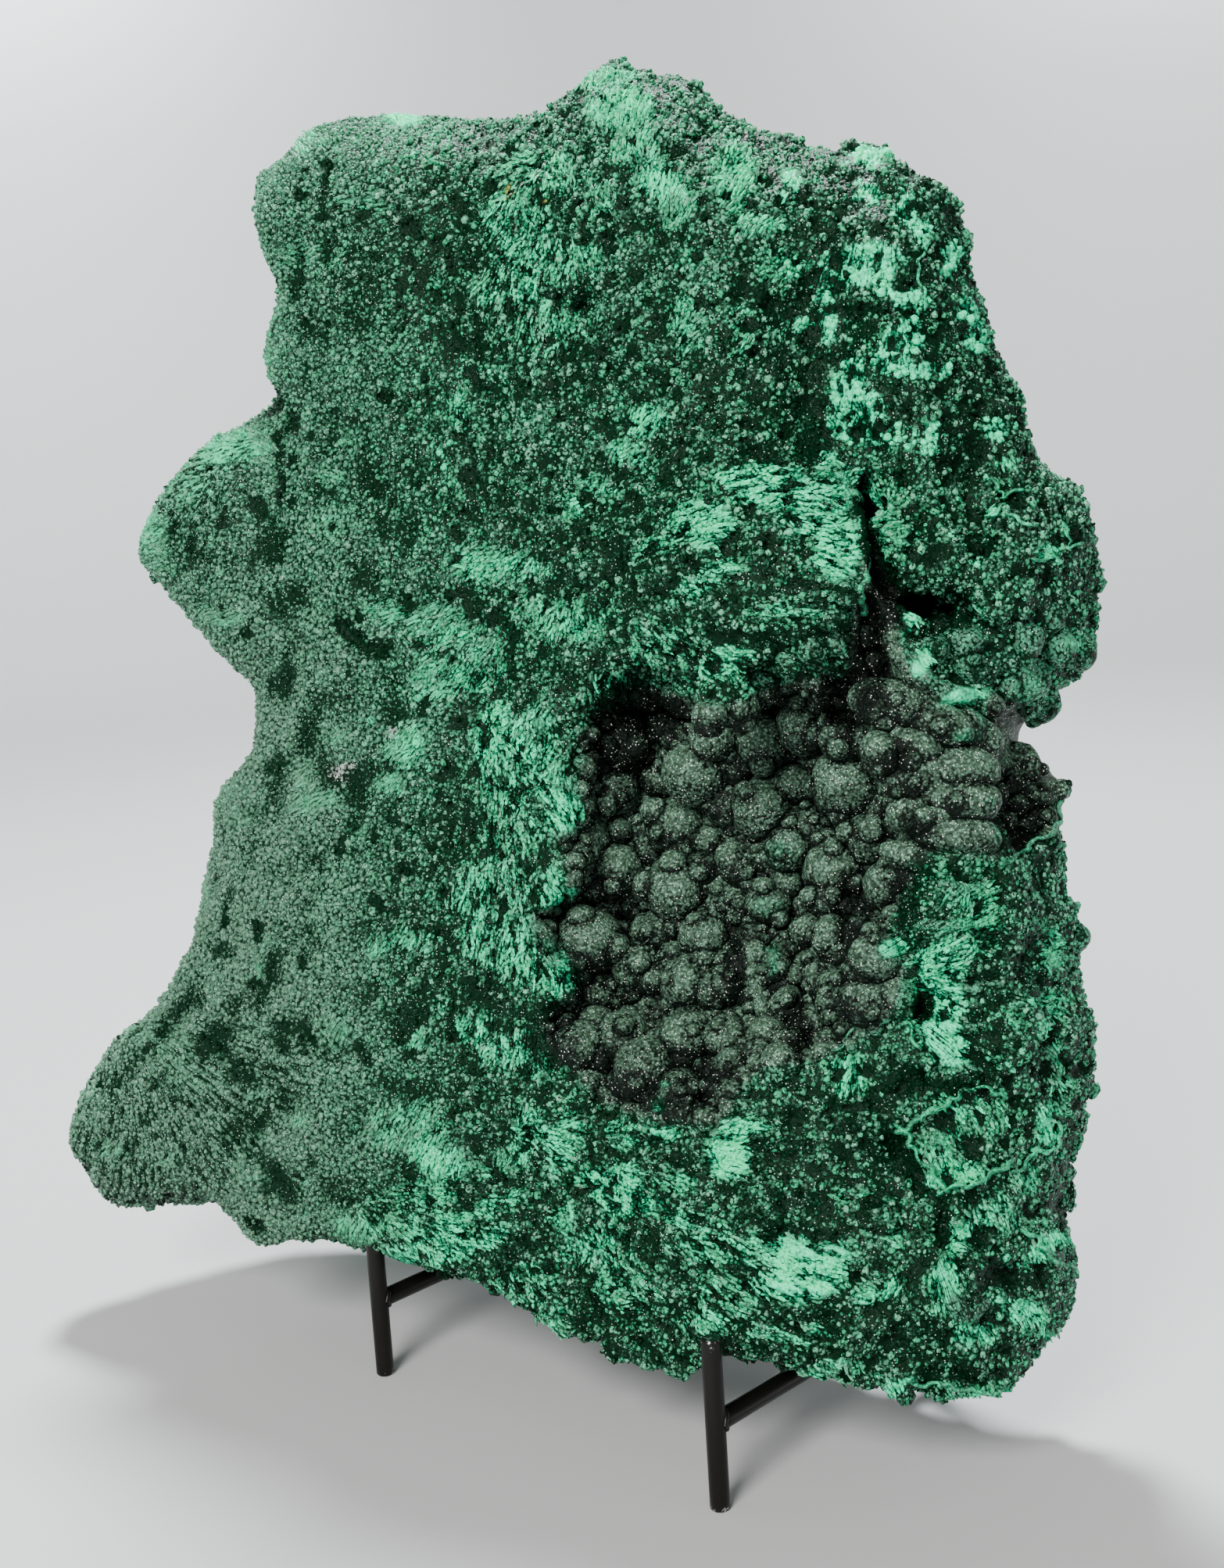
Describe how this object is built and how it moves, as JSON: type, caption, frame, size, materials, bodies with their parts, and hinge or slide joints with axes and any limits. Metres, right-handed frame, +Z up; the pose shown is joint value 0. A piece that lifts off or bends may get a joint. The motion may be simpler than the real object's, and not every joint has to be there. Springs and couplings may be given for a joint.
{
  "type": "mineral specimen on a stand",
  "caption": "Upright botryoidal malachite specimen with a grape-like cavity and fibrous fans, resting on a low stand welded from round black rod that it leans back on.",
  "frame": {"origin": "under the middle of the whole object's box, on the surface the stand's feet rest on", "axes": "+Z up, -Y the front of the stand with the two visible posts, +X from the left front foot to the right front foot"},
  "size_m": [0.385, 0.209, 0.4556],
  "materials": {
    "malachite": "drusy and botryoidal, dark green with mint green fibrous patches and a velvety near-black cavity",
    "black_rod": "satin black lacquer worn to bright metal at the rod ends"
  },
  "bodies": {
    "root": {"malachite": "malachite", "left_front_post": "black_rod", "left_arm": "black_rod", "left_rear_leg": "black_rod", "left_upright": "black_rod", "right_front_post": "black_rod", "right_arm": "black_rod", "right_rear_leg": "black_rod", "right_upright": "black_rod", "upper_cross_bar": "black_rod", "lower_cross_bar": "black_rod"}
  },
  "joints": []
}
